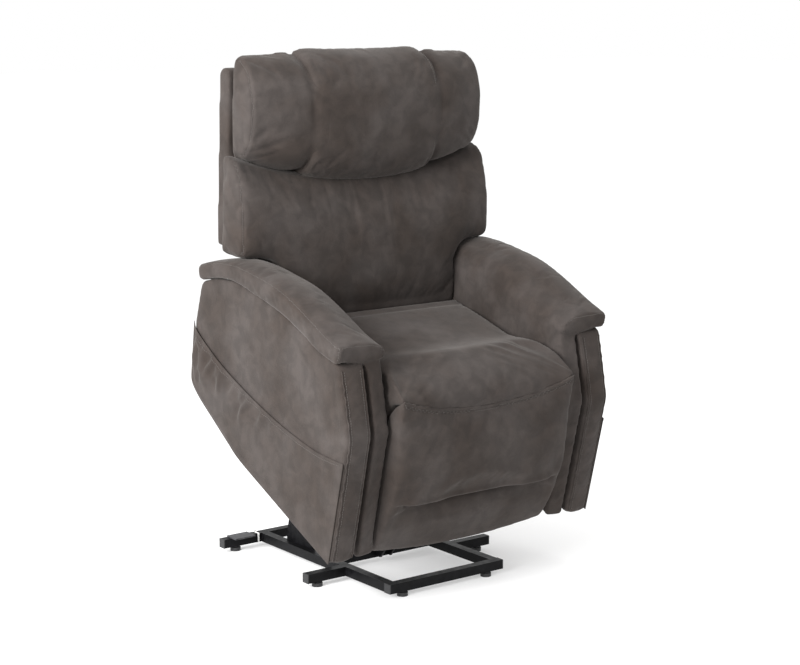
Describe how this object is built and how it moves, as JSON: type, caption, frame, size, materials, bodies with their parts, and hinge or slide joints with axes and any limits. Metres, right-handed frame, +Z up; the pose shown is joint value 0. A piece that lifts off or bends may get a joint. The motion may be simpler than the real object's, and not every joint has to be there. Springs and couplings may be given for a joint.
{
  "type": "lift recliner chair",
  "caption": "Upholstered power lift recliner with padded arms, side pockets, winged lumbar cushion and head pillow, on a black steel lift base, shown lifted and tilted forward.",
  "frame": {"origin": "on the floor, under the middle of the whole chair's box", "axes": "+Z up, the chair faces -Y, X across the seat with the sitter's left at +X; drawn lifted, the chair tilted 25 degrees forward"},
  "size_m": [0.878, 0.8106, 1.3908],
  "materials": {
    "upholstery": "brushed microfibre suede, mottled warm grey",
    "black_steel": "satin black powder coat",
    "bright_steel": "bright ground steel",
    "spring_wire": "drawn spring wire",
    "black_plastic": "moulded black plastic",
    "motor_housing": "textured black moulded housing",
    "actuator_tube": "dark anodised tube",
    "rear_plate": "grey coated steel plate",
    "cable_tie": "natural nylon",
    "plywood": "plain plywood"
  },
  "bodies": {
    "base": {"base_rails": "black_steel", "base_front_tube": "black_steel", "base_rear_tube": "black_steel", "base_outriggers": "black_steel", "base_cross_tube": "black_steel", "base_end_caps": "black_plastic", "base_feet": "black_plastic", "base_lift_brackets": "black_steel", "base_pivot_pins": "bright_steel", "lift_motor_clevis": "black_steel", "base_rear_plate": "rear_plate", "base_cable_tie": "cable_tie"},
    "lift_arms": {"lift_arm_left": "black_steel", "lift_arm_right": "black_steel", "lift_arm_cross_tube": "black_steel"},
    "control_links": {"control_links": "black_steel"},
    "lift_actuator": {"lift_motor": "motor_housing", "lift_gear_case": "motor_housing", "lift_outer_tube": "actuator_tube"},
    "lift_rod": {"lift_rod": "bright_steel"},
    "chair": {"seat_frame_rails": "black_steel", "seat_frame_cross_tubes": "black_steel", "lift_pivot_plates": "black_steel", "chair_pivot_pins": "bright_steel", "seat_box_sides": "plywood", "seat_front_rail": "plywood", "seat_springs": "spring_wire", "seat_cushion": "upholstery", "control_box": "motor_housing", "footrest_motor_bracket": "black_steel", "recline_motor_clevis": "black_steel", "arm_frames": "plywood", "arm_outer_panel_left": "upholstery", "arm_outer_panel_right": "upholstery", "arm_inner_panel_left": "upholstery", "arm_inner_panel_right": "upholstery", "arm_front_panel_left": "upholstery", "arm_front_panel_right": "upholstery", "arm_cap_left": "upholstery", "arm_cap_right": "upholstery", "side_pocket_left": "upholstery", "side_pocket_right": "upholstery", "rear_panel": "upholstery", "back_hinge_plates": "black_steel", "footrest_hinge_plates": "black_steel"},
    "backrest": {"back_board": "plywood", "back_hinge_tube": "black_steel", "outside_back": "upholstery", "lumbar_cushion": "upholstery", "head_pillow": "upholstery", "head_band": "upholstery"},
    "footrest": {"footrest_board": "plywood", "footrest_brackets": "black_steel", "footrest_pad": "upholstery", "footrest_lower_pad": "upholstery"},
    "recline_actuator": {"recline_actuator": "motor_housing"},
    "recline_rod": {"recline_rod": "bright_steel"},
    "footrest_actuator": {"footrest_actuator": "motor_housing"},
    "footrest_rod": {"footrest_rod": "bright_steel"}
  },
  "joints": [
    {"name": "lift", "type": "hinge", "parent": "base", "child": "lift_arms", "pos_m": [0, 0.2308, 0.19], "axis": [1, 0, 0], "range_deg": [0, 33.84]},
    {"name": "chair_tilt", "type": "hinge", "parent": "lift_arms", "child": "chair", "pos_m": [0, -0.10015, 0.29154], "axis": [1, 0, 0], "range_deg": [-58.89, 0.05]},
    {"name": "control_link_swing", "type": "hinge", "parent": "base", "child": "control_links", "pos_m": [0, 0.0708, 0.09], "axis": [1, 0, 0], "range_deg": [-0.05, 25.74]},
    {"name": "lift_actuator_swing", "type": "hinge", "parent": "base", "child": "lift_actuator", "pos_m": [0, 0.0258, 0.06], "axis": [1, 0, 0], "range_deg": [-45.79, 0.05]},
    {"name": "lift_rod_slide", "type": "slide", "parent": "lift_actuator", "child": "lift_rod", "axis": [0, 0.4946, 0.8691], "range_m": [-0.20193, 0.0002]},
    {"name": "recline", "type": "hinge", "parent": "chair", "child": "backrest", "pos_m": [0, 0.24757, 0.68539], "axis": [-1, 0, 0], "range_deg": [0, 42]},
    {"name": "recline_actuator_swing", "type": "hinge", "parent": "chair", "child": "recline_actuator", "pos_m": [0, -0.19896, 0.3889], "axis": [1, 0, 0], "range_deg": [-0.05, 5.44]},
    {"name": "recline_rod_slide", "type": "slide", "parent": "recline_actuator", "child": "recline_rod", "axis": [0, 0.9146, 0.4044], "range_m": [-0.05159, 0.0002]},
    {"name": "footrest_raise", "type": "hinge", "parent": "chair", "child": "footrest", "pos_m": [0, -0.38137, 0.50797], "axis": [-1, 0, 0], "range_deg": [0, 88]},
    {"name": "footrest_actuator_swing", "type": "hinge", "parent": "chair", "child": "footrest_actuator", "pos_m": [0, 0.04213, 0.53442], "axis": [1, 0, 0], "range_deg": [-3.64, 0.05]},
    {"name": "footrest_rod_slide", "type": "slide", "parent": "footrest_actuator", "child": "footrest_rod", "axis": [0, -0.9812, -0.1932], "range_m": [-0.0002, 0.0802]}
  ],
  "couplings": [
    {"joint": "chair_tilt", "follows": "lift", "ratio": -1.7388},
    {"joint": "control_link_swing", "follows": "lift", "ratio": 0.75928},
    {"joint": "lift_actuator_swing", "follows": "lift", "ratio": -1.3517},
    {"joint": "lift_rod_slide", "follows": "lift", "m_per_rad": -0.34158},
    {"joint": "recline_actuator_swing", "follows": "recline", "ratio": 0.12828},
    {"joint": "recline_rod_slide", "follows": "recline", "m_per_rad": -0.0701},
    {"joint": "footrest_actuator_swing", "follows": "footrest_raise", "ratio": -0.0408},
    {"joint": "footrest_rod_slide", "follows": "footrest_raise", "m_per_rad": 0.05209}
  ]
}
